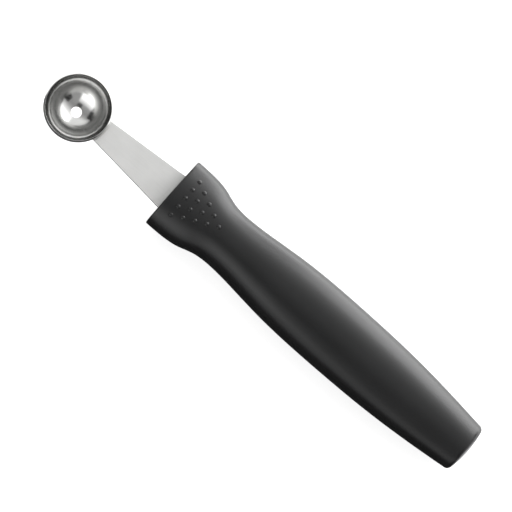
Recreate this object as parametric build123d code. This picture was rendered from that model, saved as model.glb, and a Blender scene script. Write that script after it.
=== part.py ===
"""Melon baller: a pressed steel bowl welded to a flat tapered shank, whose tang is moulded into a handle.

Frame: X runs along the tool, from the bowl to the handle's tail. Y runs across it. Z is up, the way the
bowl opens. The origin is the middle of the tool's footprint, on the surface that the tool lies on.
Lengths are in millimetres.
"""

from build123d import *
import os
from math import asin, cos, degrees, pi, sin, sqrt

# Bowl, a pressed hemisphere with a rim ground from outside and a vent hole at its bottom
bowl_inner_radius = 11.0
bowl_wall = 0.6
rim_land = 0.15
rim_bevel_depth = 0.7
rim_height = 4.0
vent_hole_radius = 1.85

# Shank, a flat strip that widens from the bowl to the handle
shank_reach = 41.5
shank_thickness = 1.5
shank_width_at_bowl = 8.8
shank_width_at_handle = 13.9
shank_edge_break = 0.25

# Tang, the narrower end of the strip inside the handle, with holes that lock it
shoulder_depth = 4.0
tang_width = 9.0
tang_length = 74.0
tang_corner_radius = 2.0
tang_hole_radius = 2.4
tang_hole_pitch = 19.0
tang_hole_count = 3

# Weld, a dressed fillet above and below the end of the shank
weld_leg = 0.8
weld_side_margin = 0.5

# Handle, lofted through sections along its length
handle_length = 129.7
handle_width = 25.1
handle_thickness = 20.5
rest_flat_depth = 0.25
section_power = 2.35
section_points = 16
front_edge_radius = 0.4
tail_dome_radius = 38.0
tail_edge_radius = 1.7

# Skin of the handle, and the grooves that key it to the core
skin = 2.4
front_wall = 2.4
tail_wall = 4.0
key_groove_count = 5
key_groove_width = 5.0
key_groove_depth = 1.1

# Grip dots, a triangle of raised dots behind the front of the handle
dot_rows = 5
dot_pitch = 3.63
dot_row_step = 3.62
first_dot_row = 4.8
dot_radius = 0.82
dot_side = 0.12
dot_dome = 0.3

# Handle outline: station along the length, half width, height above the middle and depth below it, as shares
# of the named sizes. The underside has a straight run, whose lowest part is cut flat where the tool lies on it. The
# last section lies beyond the domed tail
handle_outline_shares = (
    (0.000, 1.068, 0.858, 0.826),
    (0.030, 1.062, 0.866, 0.859),
    (0.060, 1.047, 0.876, 0.890),
    (0.085, 1.018, 0.886, 0.913),
    (0.105, 0.971, 0.893, 0.930),
    (0.125, 0.900, 0.900, 0.946),
    (0.150, 0.831, 0.908, 0.963),
    (0.185, 0.800, 0.919, 0.983),
    (0.240, 0.823, 0.936, 0.999),
    (0.310, 0.895, 0.959, 1.000),
    (0.380, 0.960, 0.980, 1.000),
    (0.450, 0.992, 0.994, 1.000),
    (0.520, 1.000, 1.000, 1.000),
    (0.600, 0.994, 0.995, 0.999),
    (0.690, 0.973, 0.975, 0.984),
    (0.780, 0.925, 0.932, 0.940),
    (0.870, 0.846, 0.862, 0.866),
    (0.940, 0.768, 0.795, 0.789),
    (1.010, 0.687, 0.725, 0.693),
)

# Places that follow from the sizes
bowl_outer_radius = bowl_inner_radius + bowl_wall
bowl_reach = sqrt(bowl_outer_radius**2 - rim_bevel_depth**2)
tail_x = (bowl_reach + shank_reach + handle_length) / 2
front_x = tail_x - handle_length
shoulder_x = front_x + shoulder_depth
tang_end_x = front_x + tang_length
bowl_x = front_x - shank_reach
shank_z = handle_thickness / 2
rim_z = shank_z + rim_height


def bowl():
    """The pressed hemisphere, its rim ground to a narrow land, with a vent hole through its bottom."""
    half_turn = 1 / sqrt(2)
    foot = (bowl_reach, -rim_bevel_depth)
    outer_bottom = (0, -bowl_outer_radius)
    outer_middle = (bowl_outer_radius * half_turn, -bowl_outer_radius * half_turn)
    inner_bottom = (0, -bowl_inner_radius)
    inner_middle = (bowl_inner_radius * half_turn, -bowl_inner_radius * half_turn)
    inner_rim = (bowl_inner_radius, 0)
    outline = [
        Line(inner_bottom, outer_bottom),
        ThreePointArc(outer_bottom, outer_middle, foot),
        Polyline(foot, (bowl_inner_radius + rim_land, 0), inner_rim),
        ThreePointArc(inner_rim, inner_middle, inner_bottom),
    ]
    shell = revolve(Plane.XZ * make_face(outline), Axis.Z)
    vent = Pos(0, 0, -bowl_inner_radius) * Cylinder(vent_hole_radius, bowl_inner_radius)
    return Pos(bowl_x, 0, rim_z) * (shell - vent)


def shank():
    """The steel strip: a taper from bowl to handle, a shoulder, and a tang with holes that lock the core."""
    taper = (shank_width_at_handle - shank_width_at_bowl) / (shank_reach - bowl_outer_radius)
    half_at_shoulder = (shank_width_at_handle + taper * shoulder_depth) / 2
    half_at_bowl = (shank_width_at_bowl - taper * bowl_outer_radius) / 2
    blade = Polygon(
        (bowl_x, -half_at_bowl),
        (shoulder_x, -half_at_shoulder),
        (shoulder_x, half_at_shoulder),
        (bowl_x, half_at_bowl),
        align=None,
    )
    tang = Pos((front_x + tang_end_x) / 2, 0) * RectangleRounded(tang_length, tang_width, tang_corner_radius)
    outline = blade + tang
    for i in range(tang_hole_count):
        hole_x = tang_end_x - tang_hole_pitch * (i + 1 / 2)
        outline -= Pos(hole_x, 0) * Circle(tang_hole_radius)
    strip = extrude(outline, shank_thickness / 2, both=True)
    long_edges = [e for e in strip.edges() if e.center().X < front_x and e.length > shank_reach]
    strip = chamfer(long_edges, shank_edge_break)
    return Pos(0, 0, shank_z) * strip - Pos(bowl_x, 0, rim_z) * Sphere(bowl_outer_radius)


def weld(side):
    """A fillet of weld metal round the bowl, on the shank's upper (1) or lower (-1) face."""
    face_z = shank_z - rim_z + side * shank_thickness / 2
    far_z = face_z + side * weld_leg
    mid_z = (face_z + far_z) / 2
    seat = (sqrt(bowl_outer_radius**2 - face_z**2), face_z)
    rise = (sqrt(bowl_outer_radius**2 - mid_z**2), mid_z)
    top = (sqrt(bowl_outer_radius**2 - far_z**2), far_z)
    toe = (seat[0] + weld_leg, face_z)
    outline = [Polyline(seat, toe, top), ThreePointArc(top, rise, seat)]
    half_angle = degrees(asin((shank_width_at_bowl / 2 - weld_side_margin) / bowl_outer_radius))
    bead = revolve(Plane.XZ * make_face(outline), Axis.Z, 2 * half_angle)
    return Pos(bowl_x, 0, rim_z) * Rot(0, 0, -half_angle) * bead


def handle_section(station_share, width_share, top_share, underside_share, inset):
    """One closed section across the handle, drawn in all round by the inset."""
    half_width = handle_width / 2 * width_share - inset
    height = handle_thickness / 2 * top_share - inset
    depth = (handle_thickness / 2 + rest_flat_depth) * underside_share - inset
    points = []
    for i in range(section_points):
        across = cos(2 * pi * i / section_points)
        up = sin(2 * pi * i / section_points)
        y = half_width * abs(across) ** (2 / section_power)
        z = (height if up > 0 else -depth) * abs(up) ** (2 / section_power)
        points.append((y if across > 0 else -y, z))
    places = [i / section_points for i in range(section_points + 1)]
    outline = Edge.make_spline(points, periodic=True, parameters=places)
    station = (front_x + handle_length * station_share, 0, shank_z)
    return Plane(origin=station, x_dir=(0, 1, 0), z_dir=(1, 0, 0)) * Face(Wire([outline]))


def handle_loft(inset=0.0):
    """The handle's form before its ends are finished, drawn in all round by the inset."""
    return loft([handle_section(*shares, inset) for shares in handle_outline_shares])


def slab(low_x, high_x):
    """A block across the whole handle between two stations."""
    size = handle_width + handle_thickness
    return Pos((low_x + high_x) / 2, 0, shank_z) * Box(high_x - low_x, size, size)


def handle_form():
    """The outside of the handle without its dots: flat rest on the underside, flat front, domed tail."""
    above = Box(2 * handle_length, 2 * handle_width, 2 * handle_width)
    above = Pos(front_x + handle_length / 2, 0, handle_width) * above
    dome_x = tail_x - tail_dome_radius
    dome = Pos(dome_x, 0, shank_z) * Rot(0, 0, 180) * Sphere(tail_dome_radius)
    tail = slab(dome_x, tail_x + tail_wall) & dome
    form = (handle_loft() & above) & (slab(front_x, dome_x) + tail)
    tail_edges = [e for e in form.edges() if e.center().X > tail_x - tail_wall]
    form = fillet(tail_edges, tail_edge_radius)
    front_edges = [e for e in form.edges() if e.center().X < front_x + front_wall]
    return fillet(front_edges, front_edge_radius)


def handle_core_blank():
    """The rigid core, with grooves that key the skin to it, before the tang is cut out of it."""
    low_x = front_x + front_wall
    high_x = tail_x - tail_wall
    blank = handle_loft(skin) & slab(low_x, high_x)
    groove_floor = handle_loft(skin + key_groove_depth)
    pitch = (high_x - low_x) / (key_groove_count + 1)
    for i in range(key_groove_count):
        middle = low_x + pitch * (i + 1)
        blank -= slab(middle - key_groove_width / 2, middle + key_groove_width / 2) - groove_floor
    return blank


def grip_dot():
    """One raised dot: a peg whose root goes halfway through the skin, with a domed top above a short side."""
    root = skin / 2
    top = dot_side + dot_dome
    dome_radius = (dot_radius**2 + dot_dome**2) / (2 * dot_dome)
    middle_x = dot_radius / 2
    middle_z = top - dome_radius + sqrt(dome_radius**2 - middle_x**2)
    outline = [
        Polyline((0, top), (0, -root), (dot_radius, -root), (dot_radius, dot_side)),
        ThreePointArc((dot_radius, dot_side), (middle_x, middle_z), (0, top)),
    ]
    return revolve(Plane.XZ * make_face(outline), Axis.Z)


def grip_dots(form):
    """The dots in their triangle: rows across the handle, each one dot shorter than the row ahead of it."""
    dots = []
    for row in range(dot_rows):
        count = dot_rows - row
        for i in range(count):
            x = front_x + first_dot_row + dot_row_step * row
            y = dot_pitch * (i - (count - 1) / 2)
            hits = form.find_intersection_points(Axis((x, y, shank_z), (0, 0, 1)))
            point, normal = max(hits, key=lambda hit: hit[0].Z)
            dots.append(Plane(origin=point, z_dir=normal) * grip_dot())
    return dots


def build():
    """Every piece of the tool, by its name."""
    steel = shank()
    core = handle_core_blank()
    form = handle_form()
    return {
        "bowl": bowl(),
        "shank": steel,
        "upper_weld": weld(1),
        "lower_weld": weld(-1),
        "handle_core": core - steel,
        "handle_grip": form + grip_dots(form) - core - steel,
    }


os.makedirs("parts", exist_ok=True)
for name, piece in build().items():
    export_step(piece, f"parts/{name}.step")
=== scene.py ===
"""Melon baller: a polished bowl on a flat shank, set in a soft black handle.

X runs along the tool from the bowl to the handle's tail, Y across it, and Z up, the way the bowl
opens. Lengths are in metres. Each operator makes one piece, or gives a CAD node its finish. The
stage operator sets the table, the lamps, the cards and the camera.
"""

from math import atan2, cos, pi, radians, sin, sqrt

import bmesh
import bpy
from bpy.props import FloatProperty, FloatVectorProperty, IntProperty, PointerProperty
from bpy.types import Operator, Panel, PropertyGroup
from mathutils import Matrix, Vector


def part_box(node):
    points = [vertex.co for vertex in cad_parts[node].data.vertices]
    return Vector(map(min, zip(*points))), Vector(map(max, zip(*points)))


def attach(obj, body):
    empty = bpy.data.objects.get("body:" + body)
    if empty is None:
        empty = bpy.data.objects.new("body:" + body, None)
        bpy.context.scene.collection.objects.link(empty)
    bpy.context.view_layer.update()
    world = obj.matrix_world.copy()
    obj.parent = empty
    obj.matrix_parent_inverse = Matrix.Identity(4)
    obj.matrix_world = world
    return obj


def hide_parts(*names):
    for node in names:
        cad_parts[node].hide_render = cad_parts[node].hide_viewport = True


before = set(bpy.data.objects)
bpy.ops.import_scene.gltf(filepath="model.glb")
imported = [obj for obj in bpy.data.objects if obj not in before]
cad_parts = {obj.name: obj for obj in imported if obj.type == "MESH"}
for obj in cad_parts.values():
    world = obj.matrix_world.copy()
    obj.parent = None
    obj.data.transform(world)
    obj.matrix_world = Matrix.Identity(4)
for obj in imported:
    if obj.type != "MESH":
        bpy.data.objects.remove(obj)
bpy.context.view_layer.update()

bl_info = {
    "name": "Melon Baller",
    "version": (1, 0, 0),
    "blender": (4, 5, 0),
    "location": "View3D > Sidebar > Melon Baller",
    "description": "Models a melon baller round its CAD frame, with finishes and a plain studio",
    "category": "Object",
}

BODY = "root"

# Distance within which two places count as one, and a point counts as lying on the plain skin
NEAR = 1e-6
ON_SKIN = 2e-5

# Greatest angle between faces that are shaded as one surface
BOWL_SMOOTH = radians(20)
SHANK_SMOOTH = radians(10)
GRIP_SMOOTH = radians(28)

# Sharpest edge of the bowl that its bevel leaves alone
BOWL_BEVEL_ANGLE = radians(25)

# Points round the bowl's rings, the ball that the strip is cut to, a tang hole and a grip dot
RING_STEPS = 256
CUTTER_STEPS = 192
HOLE_STEPS = 48
DOT_STEPS = 32

# Half width, in radians, of the rays on which points of the unit circle are picked
RAY_WIDTH = 0.01

# Rounds in which the place of the tail's edge is settled
EDGE_ROUNDS = 4

# A bevel's offset runs along the faces: at the tail's edge it is this share of the radius
TAIL_BEVEL_SHARE = 0.73

# Room kept free of sections for the rounding of each end, as a share of that rounding
FRONT_ROOM_SHARE = 2.2
TAIL_ROOM_SHARE = 1.3

# Rings from the tail's edge to its pole, as shares of the edge
TAIL_RING_SHARES = (0.78, 0.6, 0.44, 0.3, 0.18, 0.08, 0.0)

# Height from which the surface under a dot is looked for
LOOK_DOWN_FROM = 0.1

# Values between which most of a noise pattern lies
NOISE_LOW = 0.3
NOISE_HIGH = 0.7

# Places that the CAD frame gives: the grip's front and length, the strip's middle height and the
# bowl's centre
GRIP_LOW, GRIP_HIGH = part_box("handle_grip")
BOWL_LOW, BOWL_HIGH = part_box("bowl")
SHANK_LOW, SHANK_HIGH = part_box("shank")
FRONT_X = GRIP_LOW.x
GRIP_LENGTH = GRIP_HIGH.x - GRIP_LOW.x
SHANK_Z = (SHANK_LOW.z + SHANK_HIGH.z) / 2
BOWL_CENTRE = Vector(((BOWL_LOW.x + BOWL_HIGH.x) / 2, 0.0, BOWL_HIGH.z))

# Handle outline: station along the length, half width, height above the middle and depth below it,
# as shares of the handle's sizes. The last section lies beyond the domed tail
OUTLINE_SHARES = (
    (0.000, 1.062, 0.858, 0.826),
    (0.030, 1.060, 0.866, 0.859),
    (0.060, 1.047, 0.876, 0.890),
    (0.085, 1.018, 0.886, 0.913),
    (0.105, 0.971, 0.893, 0.930),
    (0.125, 0.900, 0.900, 0.946),
    (0.150, 0.831, 0.908, 0.963),
    (0.185, 0.800, 0.919, 0.983),
    (0.240, 0.823, 0.936, 0.999),
    (0.310, 0.895, 0.959, 1.000),
    (0.380, 0.960, 0.980, 1.000),
    (0.450, 0.992, 0.994, 1.000),
    (0.520, 1.000, 1.000, 1.000),
    (0.600, 0.994, 0.995, 0.999),
    (0.690, 0.973, 0.975, 0.984),
    (0.780, 0.925, 0.932, 0.940),
    (0.870, 0.846, 0.862, 0.866),
    (0.940, 0.768, 0.795, 0.789),
    (1.010, 0.687, 0.725, 0.693),
)

# Glow of the overhead panel and of the card beside the bowl: place across the tool, radiance
PANEL_GLOW = (
    (-1.20, 0.42),
    (-0.59, 0.45),
    (-0.33, 0.45),
    (-0.05, 0.38),
    (0.07, 0.50),
    (0.29, 1.05),
    (0.42, 1.50),
    (0.59, 2.20),
    (0.87, 3.30),
    (1.20, 3.60),
)
SIDE_CARD_GLOW = ((-0.235, 2.2), (-0.180, 2.1), (-0.150, 1.6), (-0.125, 1.0), (-0.105, 0.5))

# Softboxes: name, place, place that they face, width and height, radiance
SOFTBOXES = (
    ("side_softbox", (0.18, 0.8, 0.31), (0.18, 0.0, 0.31), (0.44, 0.62), 7.0),
    ("low_softbox", (0.04, 0.27, 0.002), (0.04, 0.27, 1.0), (0.6, 0.46), 3.9),
    ("fill_softbox", (-0.25, -0.66, 0.46), (-0.25, 0.0, 0.0), (0.6, 0.15), 1.2),
)

# Cards, in the same terms, with an even radiance or a table of it. The mirrored ones are only seen
# in the steel and the rubber, and neither light nor shade the table
CARDS = (
    ("overhead_panel", (0.0, 0.0, 0.8), (0.0, 0.0, 0.0), (2.4, 2.4), PANEL_GLOW),
    ("dim_card", (-0.62, 0.78, 0.76), (-0.62, 0.78, 0.0), (0.96, 0.96), 1.2),
    ("hood_card", (-0.02, -0.24, 0.78), (-0.02, -0.24, 0.0), (0.24, 0.22), 0.06),
    ("bowl_end_card", (-0.76, -0.18, 0.4), (0.0, -0.18, 0.4), (0.7, 0.44), 0.02),
    ("tail_end_card", (0.6, -0.14, 0.4), (0.0, -0.14, 0.4), (0.7, 0.36), 0.02),
)
MIRRORED_CARDS = (
    ("bowl_side_card", (-0.125, -0.17, 0.16), (-0.105, 0.0, 0.0), (0.25, 0.19), SIDE_CARD_GLOW),
    ("low_card", (0.0, -0.4895, 0.0005), (0.0, -0.4895, 1.0), (1.2, 0.961), 0.02),
)

# The table's size and the glow that brings it up to white where it is shown
TABLE_SIZE = 6.0
TABLE_GLOW = 0.75

# The room's brightness as a light, and where it is shown
ROOM_LIGHT = 0.35
ROOM_SHOWN = 1.0

# Farthest distance that the camera draws
FAR_END = 20.0


def length(name, description, default):
    """A property that holds a length in metres."""
    return FloatProperty(
        name=name,
        description=description,
        default=default,
        min=0.0,
        precision=5,
        unit="LENGTH",
        subtype="DISTANCE",
    )


def colour(name, description, default):
    """A property that holds a colour."""
    return FloatVectorProperty(
        name=name,
        description=description,
        default=default,
        min=0.0,
        max=1.0,
        size=3,
        subtype="COLOR",
    )


def share(name, description, default):
    """A property that holds a number from nothing to one."""
    return FloatProperty(
        name=name,
        description=description,
        default=default,
        min=0.0,
        max=1.0,
        subtype="FACTOR",
    )


def count(name, description, default):
    """A property that holds a whole number."""
    return IntProperty(name=name, description=description, default=default, min=1)


class BowlSettings(PropertyGroup):
    inner_radius: length("Inner radius", "Radius of the ball that the bowl cuts", 0.011)
    wall: length("Wall", "Thickness of the pressed sheet", 0.0006)
    land: length("Land", "Flat width left at the top of the rim", 0.00015)
    bevel_depth: length("Bevel depth", "How far down the outside of the rim is ground", 0.0007)
    vent_radius: length("Vent radius", "Radius of the hole through the bottom", 0.00185)
    edge_round: length("Edge round", "Rounding of the rim's and the hole's edges", 0.00006)
    turn_steps: count("Turn steps", "Steps in which the profile is spun", 192)
    steel: colour("Steel", "Colour of the polished steel", (0.60, 0.60, 0.59))
    edge_tint: colour("Edge tint", "Colour of the steel at a grazing look", (0.5, 0.5, 0.5))
    polish: share("Polish", "Roughness of the polished steel", 0.155)


class ShankSettings(PropertyGroup):
    reach: length("Reach", "From the bowl's centre to the handle's front", 0.0415)
    thickness: length("Thickness", "Thickness of the strip", 0.0015)
    width_at_bowl: length("Width at bowl", "Width where the strip meets the bowl", 0.0088)
    width_at_handle: length("Width at handle", "Width where the strip enters the handle", 0.0139)
    edge_round: length("Edge round", "Rounding of the strip's long edges", 0.00018)
    shoulder_depth: length("Shoulder depth", "How far inside the handle the full width ends", 0.004)
    tang_width: length("Tang width", "Width of the tang inside the handle", 0.009)
    tang_length: length("Tang length", "Length of the tang inside the handle", 0.074)
    tang_corner: length("Tang corner", "Corner radius of the tang's end", 0.002)
    hole_radius: length("Hole radius", "Radius of the tang's locking holes", 0.0024)
    hole_pitch: length("Hole pitch", "Spacing of the tang's locking holes", 0.019)
    hole_count: count("Hole count", "Number of locking holes", 3)
    steel: colour("Steel", "Colour of the satin steel", (0.65, 0.65, 0.64))
    satin: share("Satin", "Roughness of the satin steel", 0.5)
    # Colour of the side faces: partly the duller sheared steel, partly painted shade in place of
    # the softbox reflection they would show
    dull_and_shaded_edge: colour("Cut edge", "Colour of the strip's dull cut side faces", (0.27, 0.27, 0.265))


class GripSettings(PropertyGroup):
    width: length("Width", "Greatest width of the handle", 0.0251)
    thickness: length("Thickness", "Greatest thickness of the handle", 0.0205)
    rest_depth: length("Rest depth", "How much of the underside is pressed flat", 0.00025)
    section_power: FloatProperty(
        name="Section power",
        description="How square the sections are; 2 is an ellipse",
        default=2.35,
        min=2.0,
    )
    section_steps: count("Section steps", "Points round a section, a multiple of eight", 96)
    length_steps: count("Length steps", "Sections along the handle", 112)
    front_round: length("Front round", "Rounding of the front edge", 0.0004)
    tail_dome: length("Tail dome", "Radius of the domed tail", 0.038)
    tail_round: length("Tail round", "Rounding of the tail's edge", 0.0017)
    dot_rows: count("Dot rows", "Rows in the triangle of grip dots", 5)
    dot_pitch: length("Dot pitch", "Spacing of the dots across the handle", 0.00363)
    dot_row_step: length("Dot row step", "Spacing of the rows along the handle", 0.00362)
    dot_first_row: length("First dot row", "From the handle's front to the first row", 0.0048)
    dot_radius: length("Dot radius", "Radius of one dot", 0.00082)
    dot_height: length("Dot height", "How far a dot stands proud", 0.00042)
    dot_root: length("Dot root", "How deep a dot's middle lies under the surface", 0.00018)
    rubber: colour("Rubber", "Colour of the soft grip", (0.010, 0.0102, 0.0106))
    sheen: share("Sheen", "Roughness of the soft grip", 0.34)
    core: colour("Core", "Colour of the rigid core", (0.03, 0.03, 0.03))


class StageSettings(PropertyGroup):
    roll: FloatProperty(
        name="Roll",
        description="Lean of the view about the tool's length",
        default=radians(9.0),
        subtype="ANGLE",
    )
    turn: FloatProperty(
        name="Turn",
        description="Slope of the tool in the picture",
        default=radians(41.28),
        subtype="ANGLE",
    )
    distance: length("Distance", "From the camera to the tool", 1.5)
    lens: FloatProperty(
        name="Lens",
        description="Focal length",
        default=319.5,
        min=1.0,
        subtype="DISTANCE_CAMERA",
    )
    target: FloatVectorProperty(
        name="Target",
        description="Point in the middle of the picture",
        default=(-0.00359, 0.00243, 0.01025),
        size=3,
        subtype="TRANSLATION",
    )
    floor: colour("Floor", "Colour of the table", (0.9, 0.9, 0.9))


def deselect_all():
    """Leaves edit mode and clears the selection, which the loaded frame starts full."""
    if bpy.context.object is not None and bpy.context.object.mode != "OBJECT":
        bpy.ops.object.mode_set(mode="OBJECT")
    bpy.ops.object.select_all(action="DESELECT")


def activate(piece):
    """Makes one object the only selected one."""
    deselect_all()
    piece.select_set(True)
    bpy.context.view_layer.objects.active = piece


def new_piece(name, add, **options):
    """Runs an operator that adds a primitive, and names what it adds."""
    deselect_all()
    add(**options)
    piece = bpy.context.object
    piece.name = name
    piece.data.name = name
    return piece


def edit(piece):
    """Goes into edit mode on a piece, with nothing selected."""
    activate(piece)
    bpy.ops.object.mode_set(mode="EDIT")
    bpy.ops.mesh.select_mode(type="VERT")
    bpy.ops.mesh.select_all(action="DESELECT")


def pick(piece, test):
    """Selects the vertices that pass the test, by their place, and returns how many there are."""
    mesh = bmesh.from_edit_mesh(piece.data)
    picked = [v for v in mesh.verts if test(v.co)]
    for v in mesh.verts:
        v.select = False
    for v in picked:
        v.select = True
    mesh.select_flush_mode()
    bmesh.update_edit_mesh(piece.data)
    return len(picked)


def settle():
    """Applies an object's place, turn and size to its mesh."""
    bpy.ops.object.mode_set(mode="OBJECT")
    bpy.ops.object.transform_apply(location=True, rotation=True, scale=True)


def apply_modifier(piece, kind, **settings):
    """Adds one modifier with its settings and applies it."""
    activate(piece)
    modifier = piece.modifiers.new(kind.lower(), kind)
    for name, value in settings.items():
        setattr(modifier, name, value)
    bpy.ops.object.modifier_apply(modifier=modifier.name)


def combine(piece, tool, operation):
    """Cuts a tool from a piece, or joins it on, and removes the tool."""
    apply_modifier(piece, "BOOLEAN", operation=operation, solver="EXACT", object=tool)
    bpy.data.objects.remove(tool)


def merged_copy(node):
    """A copy of a CAD node with its loose triangles merged, to cut with."""
    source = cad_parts[node]
    copy = source.copy()
    copy.data = source.data.copy()
    for key in list(copy.keys()):
        del copy[key]
    copy.parent = None
    bpy.context.scene.collection.objects.link(copy)
    edit(copy)
    bpy.ops.mesh.select_all(action="SELECT")
    bpy.ops.mesh.remove_doubles(threshold=NEAR)
    bpy.ops.object.mode_set(mode="OBJECT")
    return copy


def copy_of(piece, name):
    """A copy of a piece with its own mesh."""
    copy = piece.copy()
    copy.data = piece.data.copy()
    copy.name = name
    bpy.context.scene.collection.objects.link(copy)
    return copy


def hand_over(piece, node, material, smooth_angle):
    """Smooths a finished piece, gives it its finish and puts it in its node's place."""
    activate(piece)
    bpy.ops.object.shade_smooth_by_angle(angle=smooth_angle)
    piece.data.materials.clear()
    piece.data.materials.append(material)
    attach(piece, BODY)
    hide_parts(node)


class Finish:
    """A material's node tree, and short ways to add to it."""

    def __init__(self, name):
        self.material = bpy.data.materials.new(name)
        self.material.use_nodes = True
        self.nodes = self.material.node_tree.nodes
        self.shader = self.nodes["Principled BSDF"]
        self.places = self.add("ShaderNodeTexCoord").outputs["Object"]

    def add(self, kind, **settings):
        """A new node, with its sockets or its options set by name."""
        node = self.nodes.new(kind)
        for name, value in settings.items():
            if name in node.inputs:
                node.inputs[name].default_value = value
            else:
                setattr(node, name, value)
        return node

    def link(self, source, target):
        """Joins an output to a socket."""
        self.material.node_tree.links.new(source, target)

    def mapped(self, scale=(1.0, 1.0, 1.0), centre=(0.0, 0.0, 0.0)):
        """Object coordinates, centred on a place and stretched."""
        mapping = self.add("ShaderNodeMapping")
        mapping.inputs["Scale"].default_value = scale
        mapping.inputs["Location"].default_value = [-c * s for c, s in zip(centre, scale)]
        self.link(self.places, mapping.inputs["Vector"])
        return mapping.outputs["Vector"]

    def noise(self, vector, scale, detail=2.0, roughness=0.5):
        """A noise pattern."""
        node = self.add("ShaderNodeTexNoise", Scale=scale, Detail=detail, Roughness=roughness)
        self.link(vector, node.inputs["Vector"])
        return node.outputs["Fac"]

    def spread(self, pattern, low, high, start=NOISE_LOW, end=NOISE_HIGH):
        """A pattern's values moved to a range."""
        node = self.add("ShaderNodeMapRange")
        node.inputs["From Min"].default_value = start
        node.inputs["From Max"].default_value = end
        node.inputs["To Min"].default_value = low
        node.inputs["To Max"].default_value = high
        self.link(pattern, node.inputs["Value"])
        return node.outputs["Result"]

    def shades(self, pattern, dark, light):
        """A pattern as a blend of two colours."""
        node = self.add("ShaderNodeValToRGB")
        node.color_ramp.elements[0].position = NOISE_LOW
        node.color_ramp.elements[0].color = (*dark, 1.0)
        node.color_ramp.elements[1].position = NOISE_HIGH
        node.color_ramp.elements[1].color = (*light, 1.0)
        self.link(pattern, node.inputs["Fac"])
        return node.outputs["Color"]

    def overlaid(self, pattern, under, over):
        """A colour laid over another where a pattern is one."""
        node = self.add("ShaderNodeMix", data_type="RGBA")
        sockets = {socket.identifier: socket for socket in node.inputs}
        self.link(pattern, sockets["Factor_Float"])
        self.link(under, sockets["A_Color"])
        sockets["B_Color"].default_value = (*over, 1.0)
        return next(socket for socket in node.outputs if socket.identifier == "Result_Color")

    def side_faces(self):
        """One on the faces that look across the tool, and nothing on those that look up or down."""
        split = self.add("ShaderNodeSeparateXYZ")
        self.link(self.places.node.outputs["Normal"], split.inputs[0])
        across = self.add("ShaderNodeMath", operation="ABSOLUTE")
        self.link(split.outputs["Y"], across.inputs[0])
        return self.spread(across.outputs[0], low=0.0, high=1.0, start=0.93, end=0.99)

    def bump(self, pattern, depth, strength, under=None):
        """Relief of a depth in metres, laid over another relief if there is one."""
        node = self.add("ShaderNodeBump")
        node.inputs["Strength"].default_value = strength
        node.inputs["Distance"].default_value = depth
        self.link(pattern, node.inputs["Height"])
        if under is not None:
            self.link(under, node.inputs["Normal"])
        return node.outputs["Normal"]

    def set(self, **sockets):
        """Sets the shader's own sockets: a number or colour, or the output of a pattern."""
        for name, value in sockets.items():
            socket = self.shader.inputs[name.replace("_", " ")]
            if isinstance(value, bpy.types.NodeSocket):
                self.link(value, socket)
            else:
                socket.default_value = value
        return self.material


def scaled(rgb, factor):
    """A colour made darker or lighter."""
    return tuple(c * factor for c in rgb)


def polished_steel(bowl):
    """Mirror polish, with the faint rings that a mop leaves and a tint at a grazing look."""
    finish = Finish("polished_steel")
    centred = finish.mapped(centre=BOWL_CENTRE)
    rings = finish.add(
        "ShaderNodeTexWave",
        wave_type="RINGS",
        rings_direction="Z",
        wave_profile="SIN",
        Scale=900.0,
        Distortion=3.0,
        Detail=2.0,
    )
    rings.inputs["Detail Scale"].default_value = 1.5
    finish.link(centred, rings.inputs["Vector"])
    haze = finish.noise(centred, scale=260.0, detail=4.0)
    smear = finish.noise(centred, scale=1500.0, detail=3.0)
    relief = finish.bump(rings.outputs["Fac"], depth=0.0000012, strength=0.35)
    return finish.set(
        Base_Color=finish.shades(haze, dark=scaled(bowl.steel, 0.94), light=bowl.steel),
        Metallic=1.0,
        Specular_Tint=(*bowl.edge_tint, 1.0),
        Roughness=finish.spread(smear, low=bowl.polish * 0.8, high=bowl.polish * 1.3),
        Normal=finish.bump(smear, depth=0.000002, strength=0.15, under=relief),
    )


def satin_steel(name, steel, satin, stretch, dull_and_shaded_edge=None):
    """Tumbled and brushed steel, with its fine grain along the tool and its cut side faces
    darkened: partly duller steel, partly painted shade.
    """
    finish = Finish(name)
    plain = finish.mapped()
    stretched = finish.mapped(scale=stretch)
    grain = finish.noise(stretched, scale=1.0, detail=6.0, roughness=0.65)
    cloud = finish.noise(plain, scale=180.0, detail=3.0)
    pits = finish.noise(plain, scale=5200.0)
    relief = finish.bump(grain, depth=0.000004, strength=0.5)
    tone = finish.shades(cloud, dark=scaled(steel, 0.95), light=steel)
    # The side faces take a darker colour: partly duller cut steel, partly painted shade that stands
    # in for the softbox reflection
    if dull_and_shaded_edge is not None:
        tone = finish.overlaid(finish.side_faces(), tone, dull_and_shaded_edge)
    return finish.set(
        Base_Color=tone,
        Metallic=1.0,
        Roughness=finish.spread(grain, low=satin * 0.85, high=satin * 1.2),
        Normal=finish.bump(pits, depth=0.000003, strength=0.35, under=relief),
    )


def soft_rubber(grip):
    """Satin black soft grip, with a spark-eroded skin and a slight bloom."""
    finish = Finish("soft_rubber")
    plain = finish.mapped()
    skin = finish.noise(plain, scale=5600.0, detail=3.0, roughness=0.6)
    bloom = finish.noise(plain, scale=70.0, detail=3.0)
    flow = finish.noise(finish.mapped(scale=(0.3, 1.0, 1.0)), scale=420.0)
    relief = finish.bump(skin, depth=0.000012, strength=0.5)
    dark, light = scaled(grip.rubber, 0.85), scaled(grip.rubber, 1.15)
    return finish.set(
        Base_Color=finish.shades(bloom, dark=dark, light=light),
        Roughness=finish.spread(skin, low=grip.sheen * 0.9, high=grip.sheen * 1.12),
        Specular_IOR_Level=0.4,
        Normal=finish.bump(flow, depth=0.00001, strength=0.3, under=relief),
    )


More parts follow.
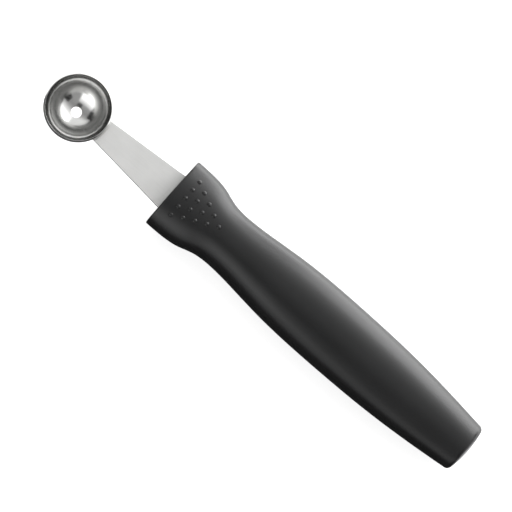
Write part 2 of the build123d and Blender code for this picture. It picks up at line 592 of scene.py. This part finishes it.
def moulded_core(grip):
    """Rigid black plastic, as moulded, with a coarse matt skin."""
    finish = Finish("moulded_core")
    plain = finish.mapped()
    skin = finish.noise(plain, scale=2600.0, detail=3.0)
    cloud = finish.noise(plain, scale=90.0)
    return finish.set(
        Base_Color=finish.shades(cloud, dark=scaled(grip.core, 0.85), light=grip.core),
        Roughness=finish.spread(skin, low=0.5, high=0.62),
        Normal=finish.bump(skin, depth=0.00003, strength=0.5),
    )


def outline_at(station):
    """The handle outline's shares at a station: a smooth curve through the table's rows."""
    rows = OUTLINE_SHARES
    last = len(rows) - 1
    i = max(k for k in range(last) if rows[k][0] <= station + NEAR)
    low, high = rows[i], rows[i + 1]
    before, after = rows[max(i - 1, 0)], rows[min(i + 2, last)]
    span = high[0] - low[0]
    t = (station - low[0]) / span
    shares = []
    for column in (1, 2, 3):
        slope_low = (high[column] - before[column]) / (high[0] - before[0])
        slope_high = (after[column] - low[column]) / (after[0] - low[0])
        shares.append(
            low[column] * (1 + 2 * t) * (1 - t) ** 2
            + high[column] * (3 - 2 * t) * t**2
            + slope_low * span * t * (1 - t) ** 2
            + slope_high * span * (t - 1) * t**2
        )
    return shares


class BALLER_OT_bowl(Operator):
    """Spin the pressed bowl from its profile, with a ground rim and a vent hole"""

    bl_idname = "baller.bowl"
    bl_label = "Bowl"

    def execute(self, context):
        bowl = context.scene.baller_bowl
        inner = bowl.inner_radius
        outer = inner + bowl.wall
        mid_wall = inner + bowl.wall / 2
        piece = new_piece(
            "bowl_shell",
            bpy.ops.mesh.primitive_circle_add,
            vertices=RING_STEPS,
            radius=inner,
            rotation=(pi / 2, 0.0, 0.0),
            location=BOWL_CENTRE,
        )
        settle()
        edit(piece)
        bpy.ops.mesh.primitive_circle_add(
            vertices=RING_STEPS,
            radius=outer,
            rotation=(pi / 2, 0.0, 0.0),
            location=BOWL_CENTRE,
        )
        # Cuts the two rings down to the wall's profile, from the vent hole to the rim
        rim_z = BOWL_CENTRE.z
        foot_z = rim_z - bowl.bevel_depth
        vent_x = BOWL_CENTRE.x + bowl.vent_radius
        for place, outwards, ring in (
            ((vent_x, 0.0, 0.0), (-1.0, 0.0, 0.0), None),
            ((0.0, 0.0, rim_z), (0.0, 0.0, 1.0), None),
            ((0.0, 0.0, foot_z), (0.0, 0.0, 1.0), mid_wall),
        ):
            pick(piece, lambda co: ring is None or (co - BOWL_CENTRE).length > ring)
            bpy.ops.mesh.bisect(
                plane_co=place, plane_no=outwards, clear_outer=True, threshold=NEAR
            )
        # Closes the profile across the vent hole's edge and over the rim
        at_vent = lambda co: abs(co.x - vent_x) < NEAR
        inner_rim = lambda co: abs(co.z - rim_z) < NEAR
        foot = lambda co: abs(co.z - foot_z) < NEAR and (co - BOWL_CENTRE).length > mid_wall
        if pick(piece, at_vent) != 2 or pick(piece, inner_rim) != 1 or pick(piece, foot) != 1:
            raise RuntimeError("the bowl's profile didn't come out whole")
        pick(piece, at_vent)
        bpy.ops.mesh.edge_face_add()
        pick(piece, inner_rim)
        bpy.ops.mesh.extrude_vertices_move(
            TRANSFORM_OT_translate={"value": (bowl.land, 0.0, 0.0)}
        )
        land_x = BOWL_CENTRE.x + inner + bowl.land
        pick(piece, lambda co: foot(co) or (inner_rim(co) and abs(co.x - land_x) < NEAR))
        bpy.ops.mesh.edge_face_add()
        bpy.ops.mesh.select_all(action="SELECT")
        bpy.ops.mesh.spin(
            steps=bowl.turn_steps,
            angle=2 * pi,
            center=BOWL_CENTRE,
            axis=(0.0, 0.0, 1.0),
            use_auto_merge=True,
        )
        bpy.ops.mesh.select_all(action="SELECT")
        bpy.ops.mesh.remove_doubles(threshold=NEAR)
        bpy.ops.mesh.normals_make_consistent(inside=False)
        bpy.ops.object.mode_set(mode="OBJECT")
        apply_modifier(
            piece,
            "BEVEL",
            width=bowl.edge_round,
            segments=2,
            limit_method="ANGLE",
            angle_limit=BOWL_BEVEL_ANGLE,
        )
        hand_over(piece, "bowl", polished_steel(bowl), BOWL_SMOOTH)
        return {"FINISHED"}


class BALLER_OT_shank(Operator):
    """Model the tapered strip, its shoulder and the tang with its locking holes"""

    bl_idname = "baller.shank"
    bl_label = "Shank"

    def execute(self, context):
        shank = context.scene.baller_shank
        bowl = context.scene.baller_bowl
        outer = bowl.inner_radius + bowl.wall
        taper = (shank.width_at_handle - shank.width_at_bowl) / (shank.reach - outer)
        half_at_bowl = (shank.width_at_bowl - taper * outer) / 2
        half_at_shoulder = (shank.width_at_handle + taper * shank.shoulder_depth) / 2
        shoulder_x = FRONT_X + shank.shoulder_depth
        blade_length = shoulder_x - BOWL_CENTRE.x
        piece = new_piece(
            "shank_strip",
            bpy.ops.mesh.primitive_cube_add,
            size=1.0,
            location=(BOWL_CENTRE.x + blade_length / 2, 0.0, SHANK_Z),
            scale=(blade_length, 2 * half_at_shoulder, shank.thickness),
        )
        settle()
        edit(piece)
        pick(piece, lambda co: co.x < BOWL_CENTRE.x + NEAR)
        bpy.ops.transform.resize(
            value=(1.0, half_at_bowl / half_at_shoulder, 1.0),
            center_override=(BOWL_CENTRE.x, 0.0, SHANK_Z),
        )
        # The tang starts from an inset face on the shoulder
        pick(piece, lambda co: co.x > shoulder_x - NEAR)
        bpy.ops.mesh.extrude_region_move(TRANSFORM_OT_translate={"value": (0.0, 0.0, 0.0)})
        bpy.ops.transform.resize(
            value=(1.0, shank.tang_width / 2 / half_at_shoulder, 1.0),
            center_override=(shoulder_x, 0.0, SHANK_Z),
        )
        tang_reach = shank.tang_length - shank.shoulder_depth
        bpy.ops.mesh.extrude_region_move(TRANSFORM_OT_translate={"value": (tang_reach, 0.0, 0.0)})
        tang_end = FRONT_X + shank.tang_length
        mesh = bmesh.from_edit_mesh(piece.data)
        for edge in mesh.edges:
            ends = [v.co for v in edge.verts]
            upright = abs(ends[0].z - ends[1].z) > NEAR
            edge.select = upright and all(co.x > tang_end - NEAR for co in ends)
        bmesh.update_edit_mesh(piece.data)
        bpy.ops.mesh.select_mode(type="EDGE")
        bpy.ops.mesh.bevel(offset=shank.tang_corner, segments=6, affect="EDGES")
        # The long edges of the blade are rounded
        mesh = bmesh.from_edit_mesh(piece.data)
        for edge in mesh.edges:
            ends = [v.co for v in edge.verts]
            lengthwise = abs(ends[0].x - ends[1].x) > shank.reach
            on_blade = max(co.x for co in ends) < shoulder_x + NEAR
            edge.select = lengthwise and on_blade and all(abs(co.y) > NEAR for co in ends)
        bmesh.update_edit_mesh(piece.data)
        bpy.ops.mesh.bevel(offset=shank.edge_round, segments=4, affect="EDGES")
        bpy.ops.mesh.select_mode(type="VERT")
        bpy.ops.object.mode_set(mode="OBJECT")
        for i in range(shank.hole_count):
            hole_x = tang_end - shank.hole_pitch * (i + 0.5)
            combine(
                piece,
                new_piece(
                    "hole_cutter",
                    bpy.ops.mesh.primitive_cylinder_add,
                    vertices=HOLE_STEPS,
                    radius=shank.hole_radius,
                    depth=2 * shank.thickness,
                    location=(hole_x, 0.0, SHANK_Z),
                ),
                "DIFFERENCE",
            )
        combine(
            piece,
            new_piece(
                "bowl_cutter",
                bpy.ops.mesh.primitive_uv_sphere_add,
                segments=CUTTER_STEPS,
                ring_count=CUTTER_STEPS // 2,
                radius=outer,
                location=BOWL_CENTRE,
            ),
            "DIFFERENCE",
        )
        finish = satin_steel(
            "satin_steel",
            shank.steel,
            shank.satin,
            stretch=(120.0, 3400.0, 3400.0),
            dull_and_shaded_edge=shank.dull_and_shaded_edge,
        )
        hand_over(piece, "shank", finish, SHANK_SMOOTH)
        return {"FINISHED"}


class BALLER_OT_welds(Operator):
    """Give the two welds between bowl and shank their dressed finish"""

    bl_idname = "baller.welds"
    bl_label = "Welds"

    def execute(self, context):
        shank = context.scene.baller_shank
        # A little darker and duller than the strip, and brushed in no direction
        dressed = satin_steel(
            "dressed_weld",
            scaled(shank.steel, 0.96),
            shank.satin * 1.1,
            stretch=(900.0, 900.0, 900.0),
        )
        for node in ("upper_weld", "lower_weld"):
            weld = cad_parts[node]
            weld.data.materials.clear()
            weld.data.materials.append(dressed)
        return {"FINISHED"}


class BALLER_OT_core(Operator):
    """Give the rigid core inside the handle its moulded finish"""

    bl_idname = "baller.core"
    bl_label = "Handle core"

    def execute(self, context):
        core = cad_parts["handle_core"]
        core.data.materials.clear()
        core.data.materials.append(moulded_core(context.scene.baller_grip))
        return {"FINISHED"}


class BALLER_OT_grip(Operator):
    """Model the soft handle section by section, hollow it round the core and add its grip dots"""

    bl_idname = "baller.grip"
    bl_label = "Handle grip"

    def execute(self, context):
        grip = context.scene.baller_grip
        piece = new_piece(
            "handle_skin",
            bpy.ops.mesh.primitive_circle_add,
            vertices=grip.section_steps,
            radius=1.0,
            fill_type="NOTHING",
            rotation=(0.0, pi / 2, 0.0),
            location=(FRONT_X, 0.0, SHANK_Z),
        )
        settle()
        edit(piece)
        self.square_off(piece, grip)
        sizes = self.stations(grip)
        x, width, height, depth = sizes[0]
        self.reshape(piece, x, (width, height, depth), (1.0, 1.0, 1.0))
        pick(piece, lambda co: True)
        bpy.ops.mesh.edge_face_add()
        for (old_x, *old), (x, *new) in zip(sizes, sizes[1:]):
            pick(piece, lambda co: abs(co.x - old_x) < NEAR)
            if old_x == sizes[0][0]:
                bpy.ops.mesh.region_to_loop()
            bpy.ops.mesh.extrude_edges_move(
                TRANSFORM_OT_translate={"value": (x - old_x, 0.0, 0.0)}
            )
            self.reshape(piece, x, new, old)
        self.close_tail(piece, grip, sizes[-1])
        tail_offset = grip.tail_round * TAIL_BEVEL_SHARE
        self.round_end(piece, sizes[-1][0], offset=tail_offset, segments=6)
        self.round_end(piece, FRONT_X, offset=grip.front_round, segments=3)
        # The underside is pressed flat where the handle lies on the table
        pick(piece, lambda co: co.z < 0)
        bpy.ops.transform.resize(value=(1.0, 1.0, 0.0), center_override=(0.0, 0.0, 0.0))
        bpy.ops.mesh.select_all(action="SELECT")
        bpy.ops.mesh.normals_make_consistent(inside=False)
        bpy.ops.object.mode_set(mode="OBJECT")
        plain = copy_of(piece, "plain_skin")
        dots = self.dots(piece, grip)
        combine(piece, merged_copy("handle_core"), "DIFFERENCE")
        combine(piece, copy_of(bpy.data.objects["shank_strip"], "shank_cutter"), "DIFFERENCE")
        combine(piece, dots, "UNION")
        hand_over(piece, "handle_grip", soft_rubber(grip), GRIP_SMOOTH)
        self.keep_normals(piece, plain)
        return {"FINISHED"}

    def keep_normals(self, piece, plain):
        """Shades the skin round the dots as it was before they came, so that no cut face shows."""
        activate(plain)
        bpy.ops.object.shade_smooth_by_angle(angle=GRIP_SMOOTH)
        edit(piece)
        pick(piece, lambda co: (plain.closest_point_on_mesh(co)[1] - co).length < ON_SKIN)
        group = piece.vertex_groups.new(name="skin")
        bpy.ops.object.vertex_group_assign()
        apply_modifier(
            piece,
            "DATA_TRANSFER",
            object=plain,
            use_loop_data=True,
            data_types_loops={"CUSTOM_NORMAL"},
            loop_mapping="POLYINTERP_NEAREST",
            vertex_group=group.name,
        )
        piece.vertex_groups.clear()
        bpy.data.objects.remove(plain)

    def square_off(self, piece, grip):
        """Draws the unit circle out towards its corners, in mirrored groups of eight points."""
        steps = grip.section_steps // 8
        power = grip.section_power
        for k in range(1, steps + 1):
            angle = k * 2 * pi / grip.section_steps
            reach = (cos(angle) ** power + sin(angle) ** power) ** (-1 / power)

            def on_ray(co):
                folded = atan2(abs(co.z - SHANK_Z), abs(co.y))
                return min(abs(folded - angle), abs(pi / 2 - folded - angle)) < RAY_WIDTH

            pick(piece, on_ray)
            centre = (FRONT_X, 0.0, SHANK_Z)
            bpy.ops.transform.resize(value=(1.0, reach, reach), center_override=centre)

    def stations(self, grip):
        """Place, half width, height and depth of each section, up to the edge of the domed tail."""
        half_width, half_thickness = grip.width / 2, grip.thickness / 2
        # The tail's edge lies on its dome, at a place that depends on the edge's own width
        edge_station = 1.0
        for _ in range(EDGE_ROUNDS):
            edge_half_width = outline_at(edge_station)[0] * half_width
            dome_depth = grip.tail_dome - sqrt(grip.tail_dome**2 - edge_half_width**2)
            edge_station = 1 - dome_depth / GRIP_LENGTH
        start_station = FRONT_ROOM_SHARE * grip.front_round / GRIP_LENGTH
        end_station = edge_station - TAIL_ROOM_SHARE * grip.tail_round / GRIP_LENGTH
        span = end_station - start_station
        last = grip.length_steps - 1
        between = [start_station + span * i / last for i in range(grip.length_steps)]
        sizes = []
        for station in (0.0, *between, edge_station):
            width, height, depth = outline_at(station)
            sizes.append(
                (
                    FRONT_X + station * GRIP_LENGTH,
                    width * half_width,
                    height * half_thickness,
                    depth * (half_thickness + grip.rest_depth),
                )
            )
        return sizes

    def reshape(self, piece, x, new, old):
        """Resizes the section at x from its old half width, height and depth to the new ones."""
        centre = (x, 0.0, SHANK_Z)
        on_section = lambda co: abs(co.x - x) < NEAR
        pick(piece, on_section)
        bpy.ops.transform.resize(value=(1.0, new[0] / old[0], 1.0), center_override=centre)
        pick(piece, lambda co: on_section(co) and co.z > SHANK_Z + NEAR)
        bpy.ops.transform.resize(value=(1.0, 1.0, new[1] / old[1]), center_override=centre)
        pick(piece, lambda co: on_section(co) and co.z < SHANK_Z - NEAR)
        bpy.ops.transform.resize(value=(1.0, 1.0, new[2] / old[2]), center_override=centre)

    def close_tail(self, piece, grip, edge):
        """Carries the last section over the domed tail to its pole."""
        x, half_width = edge[0], edge[1]
        dome_x = x - sqrt(grip.tail_dome**2 - half_width**2)
        share_left = 1.0
        for new_share in TAIL_RING_SHARES:
            new_x = dome_x + sqrt(grip.tail_dome**2 - (half_width * new_share) ** 2)
            pick(piece, lambda co: abs(co.x - x) < NEAR)
            bpy.ops.mesh.extrude_edges_move(
                TRANSFORM_OT_translate={"value": (new_x - x, 0.0, 0.0)}
            )
            if new_share:
                ratio = new_share / share_left
                centre = (new_x, 0.0, SHANK_Z)
                bpy.ops.transform.resize(value=(1.0, ratio, ratio), center_override=centre)
            else:
                bpy.ops.mesh.merge(type="CENTER")
            x, share_left = new_x, new_share

    def round_end(self, piece, x, offset, segments):
        """Rounds the edge loop at x."""
        pick(piece, lambda co: abs(co.x - x) < NEAR)
        bpy.ops.mesh.select_mode(type="EDGE")
        mesh = bmesh.from_edit_mesh(piece.data)
        for edge in mesh.edges:
            edge.select = all(abs(v.co.x - x) < NEAR for v in edge.verts)
        bmesh.update_edit_mesh(piece.data)
        bpy.ops.mesh.bevel(offset=offset, segments=segments, profile=0.5, affect="EDGES")
        bpy.ops.mesh.select_mode(type="VERT")

    def dots(self, piece, grip):
        """The triangle of domed dots, as one mesh, each square to the surface under it."""
        half_height = grip.dot_height + grip.dot_root
        radius = grip.dot_radius / sqrt(1 - (grip.dot_root / half_height) ** 2)
        master = new_piece(
            "grip_dots",
            bpy.ops.mesh.primitive_uv_sphere_add,
            segments=DOT_STEPS,
            ring_count=DOT_STEPS // 2,
            radius=radius,
        )
        edit(master)
        bpy.ops.mesh.select_all(action="SELECT")
        bpy.ops.transform.resize(value=(1.0, 1.0, half_height / radius))
        bpy.ops.object.mode_set(mode="OBJECT")
        dots = []
        for row in range(grip.dot_rows):
            across = grip.dot_rows - row
            for i in range(across):
                x = FRONT_X + grip.dot_first_row + grip.dot_row_step * row
                y = grip.dot_pitch * (i - (across - 1) / 2)
                above = Vector((x, y, LOOK_DOWN_FROM))
                found, place, normal, _ = piece.ray_cast(above, Vector((0.0, 0.0, -1.0)))
                if not found:
                    raise RuntimeError("a grip dot has no surface under it")
                dot = copy_of(master, "grip_dot")
                middle = place - normal * grip.dot_root
                turn = normal.to_track_quat("Z", "Y").to_matrix().to_4x4()
                dot.matrix_world = Matrix.Translation(middle) @ turn
                dots.append(dot)
        bpy.data.objects.remove(master)
        deselect_all()
        for dot in dots:
            dot.select_set(True)
        bpy.context.view_layer.objects.active = dots[0]
        bpy.ops.object.transform_apply(location=True, rotation=True, scale=True)
        bpy.ops.object.join()
        return bpy.context.object


class BALLER_OT_stage(Operator):
    """Set the table, the soft studio light and the camera"""

    bl_idname = "baller.stage"
    bl_label = "Stage"

    def execute(self, context):
        stage = context.scene.baller_stage
        self.floor(stage)
        self.world(context)
        for softbox in SOFTBOXES:
            self.lamp(*softbox)
        for card in CARDS:
            self.card(*card)
        for mirrored in MIRRORED_CARDS:
            card = self.card(*mirrored)
            card.visible_diffuse = False
            card.visible_transmission = False
            card.visible_shadow = False
        self.camera(context, stage)
        context.scene.view_settings.view_transform = "Standard"
        return {"FINISHED"}

    def facing(self, place, target):
        """The turn that faces an object from its place to a target, its width along the tool."""
        away = (Vector(place) - Vector(target)).normalized()
        width = Vector((0.0, 1.0, 0.0)).cross(away)
        # An object that faces along Y leaves no such width
        if width.length < 0.5:
            width = Vector((1.0, 0.0, 0.0))
        width.normalize()
        return Matrix((width, away.cross(width), away)).transposed().to_euler()

    def lamp(self, name, place, target, size, radiance):
        """A rectangular softbox of an even brightness."""
        facing = self.facing(place, target)
        bpy.ops.object.light_add(type="AREA", location=place, rotation=facing)
        lamp = bpy.context.object
        lamp.name = name
        lamp.data.shape = "RECTANGLE"
        lamp.data.size, lamp.data.size_y = size
        lamp.data.energy = radiance * pi * size[0] * size[1]
        lamp.visible_camera = False

    def card(self, name, place, target, size, glow):
        """A matt card to be mirrored, with an even glow or a table of glow across the tool."""
        facing = self.facing(place, target)
        card = new_piece(
            name, bpy.ops.mesh.primitive_plane_add, size=1.0, location=place, rotation=facing
        )
        card.scale = (size[0], size[1], 1.0)
        bpy.ops.object.transform_apply(location=True, rotation=True, scale=True)
        finish = Finish(name)
        finish.set(Base_Color=(0.01, 0.01, 0.01, 1.0), Roughness=1.0)
        if isinstance(glow, tuple):
            brightest = max(radiance for _, radiance in glow)
            grey = self.graded(finish, glow, brightest)
            finish.set(Emission_Color=grey, Emission_Strength=brightest)
        else:
            finish.set(Emission_Color=(1.0, 1.0, 1.0, 1.0), Emission_Strength=glow)
        card.data.materials.append(finish.material)
        card.visible_camera = False
        return card

    def graded(self, finish, glow, brightest):
        """A grey that follows a table of radiances across the tool, as shares of the brightest."""
        low_y, high_y = glow[0][0], glow[-1][0]
        split = finish.add("ShaderNodeSeparateXYZ")
        finish.link(finish.places, split.inputs[0])
        ramp = finish.add("ShaderNodeValToRGB")
        ramp.color_ramp.interpolation = "EASE"
        stops = ramp.color_ramp.elements
        while len(stops) < len(glow):
            stops.new(1.0)
        for stop, (y, radiance) in zip(stops, glow):
            stop.position = (y - low_y) / (high_y - low_y)
            stop.color = (*[radiance / brightest] * 3, 1.0)
        place = finish.spread(split.outputs["Y"], low=0.0, high=1.0, start=low_y, end=high_y)
        finish.link(place, ramp.inputs["Fac"])
        return ramp.outputs["Color"]

    def floor(self, stage):
        """A pale table, lit up to white for the camera and with its shadow kept."""
        floor = new_piece(
            "table", bpy.ops.mesh.primitive_plane_add, size=TABLE_SIZE, location=(0.0, 0.0, 0.0)
        )
        finish = Finish("pale_table")
        mottle = finish.noise(finish.mapped(), scale=40.0)
        finish.set(
            Base_Color=finish.shades(mottle, dark=scaled(stage.floor, 0.99), light=stage.floor),
            Roughness=0.8,
            Emission_Color=(1.0, 1.0, 1.0, 1.0),
        )
        shown = self.shown(finish.material.node_tree)
        glow = finish.spread(shown, low=0.0, high=TABLE_GLOW, start=0.0, end=1.0)
        finish.link(glow, finish.shader.inputs["Emission Strength"])
        floor.data.materials.append(finish.material)

    def shown(self, tree):
        """One on the camera's, the mirrored and the clear rays, and nothing on those that light."""
        rays = tree.nodes.new("ShaderNodeLightPath")
        shown = rays.outputs["Is Camera Ray"]
        for kind in ("Is Glossy Ray", "Is Transmission Ray"):
            either = tree.nodes.new("ShaderNodeMath")
            either.operation = "MAXIMUM"
            tree.links.new(shown, either.inputs[0])
            tree.links.new(rays.outputs[kind], either.inputs[1])
            shown = either.outputs[0]
        return shown

    def world(self, context):
        """An even pale room, white to the camera and in the steel."""
        world = bpy.data.worlds.new("pale_room")
        context.scene.world = world
        world.use_nodes = True
        nodes, links = world.node_tree.nodes, world.node_tree.links
        background = nodes["Background"]
        strength = nodes.new("ShaderNodeMapRange")
        strength.inputs["To Min"].default_value = ROOM_LIGHT
        strength.inputs["To Max"].default_value = ROOM_SHOWN
        links.new(self.shown(world.node_tree), strength.inputs["Value"])
        background.inputs["Color"].default_value = (1.0, 1.0, 1.0, 1.0)
        links.new(strength.outputs["Result"], background.inputs["Strength"])

    def camera(self, context, stage):
        """The camera over the tool, leaning a little to its side."""
        lean = Vector((0.0, cos(stage.roll), sin(stage.roll)))
        back = Vector((0.0, -sin(stage.roll), cos(stage.roll)))
        along = Vector((1.0, 0.0, 0.0))
        right = along * cos(stage.turn) + lean * sin(stage.turn)
        up = lean * cos(stage.turn) - along * sin(stage.turn)
        facing = Matrix((right, up, back)).transposed().to_euler()
        place = Vector(stage.target) + back * stage.distance
        bpy.ops.object.camera_add(location=place, rotation=facing)
        camera = bpy.context.object
        camera.name = "camera"
        camera.data.lens = stage.lens
        camera.data.clip_end = FAR_END
        context.scene.camera = camera


class BALLER_PT_panel(Panel):
    bl_label = "Melon Baller"
    bl_idname = "BALLER_PT_panel"
    bl_space_type = "VIEW_3D"
    bl_region_type = "UI"
    bl_category = "Melon Baller"

    def draw(self, context):
        for operators, group in (
            ((BALLER_OT_bowl,), context.scene.baller_bowl),
            ((BALLER_OT_shank, BALLER_OT_welds), context.scene.baller_shank),
            ((BALLER_OT_grip, BALLER_OT_core), context.scene.baller_grip),
            ((BALLER_OT_stage,), context.scene.baller_stage),
        ):
            box = self.layout.box()
            for operator in operators:
                box.operator(operator.bl_idname)
            for name in group.__annotations__:
                box.prop(group, name)


GROUPS = (
    ("baller_bowl", BowlSettings),
    ("baller_shank", ShankSettings),
    ("baller_grip", GripSettings),
    ("baller_stage", StageSettings),
)
PANELS_AND_OPERATORS = (
    BALLER_OT_bowl,
    BALLER_OT_shank,
    BALLER_OT_welds,
    BALLER_OT_core,
    BALLER_OT_grip,
    BALLER_OT_stage,
    BALLER_PT_panel,
)


def register():
    for name, group in GROUPS:
        bpy.utils.register_class(group)
        setattr(bpy.types.Scene, name, PointerProperty(type=group))
    for item in PANELS_AND_OPERATORS:
        bpy.utils.register_class(item)


def unregister():
    for item in reversed(PANELS_AND_OPERATORS):
        bpy.utils.unregister_class(item)
    for name, group in reversed(GROUPS):
        delattr(bpy.types.Scene, name)
        bpy.utils.unregister_class(group)


def main():
    register()
    bpy.ops.baller.bowl()
    bpy.ops.baller.shank()
    bpy.ops.baller.welds()
    bpy.ops.baller.core()
    bpy.ops.baller.grip()
    bpy.ops.baller.stage()


if __name__ == "__main__":
    main()
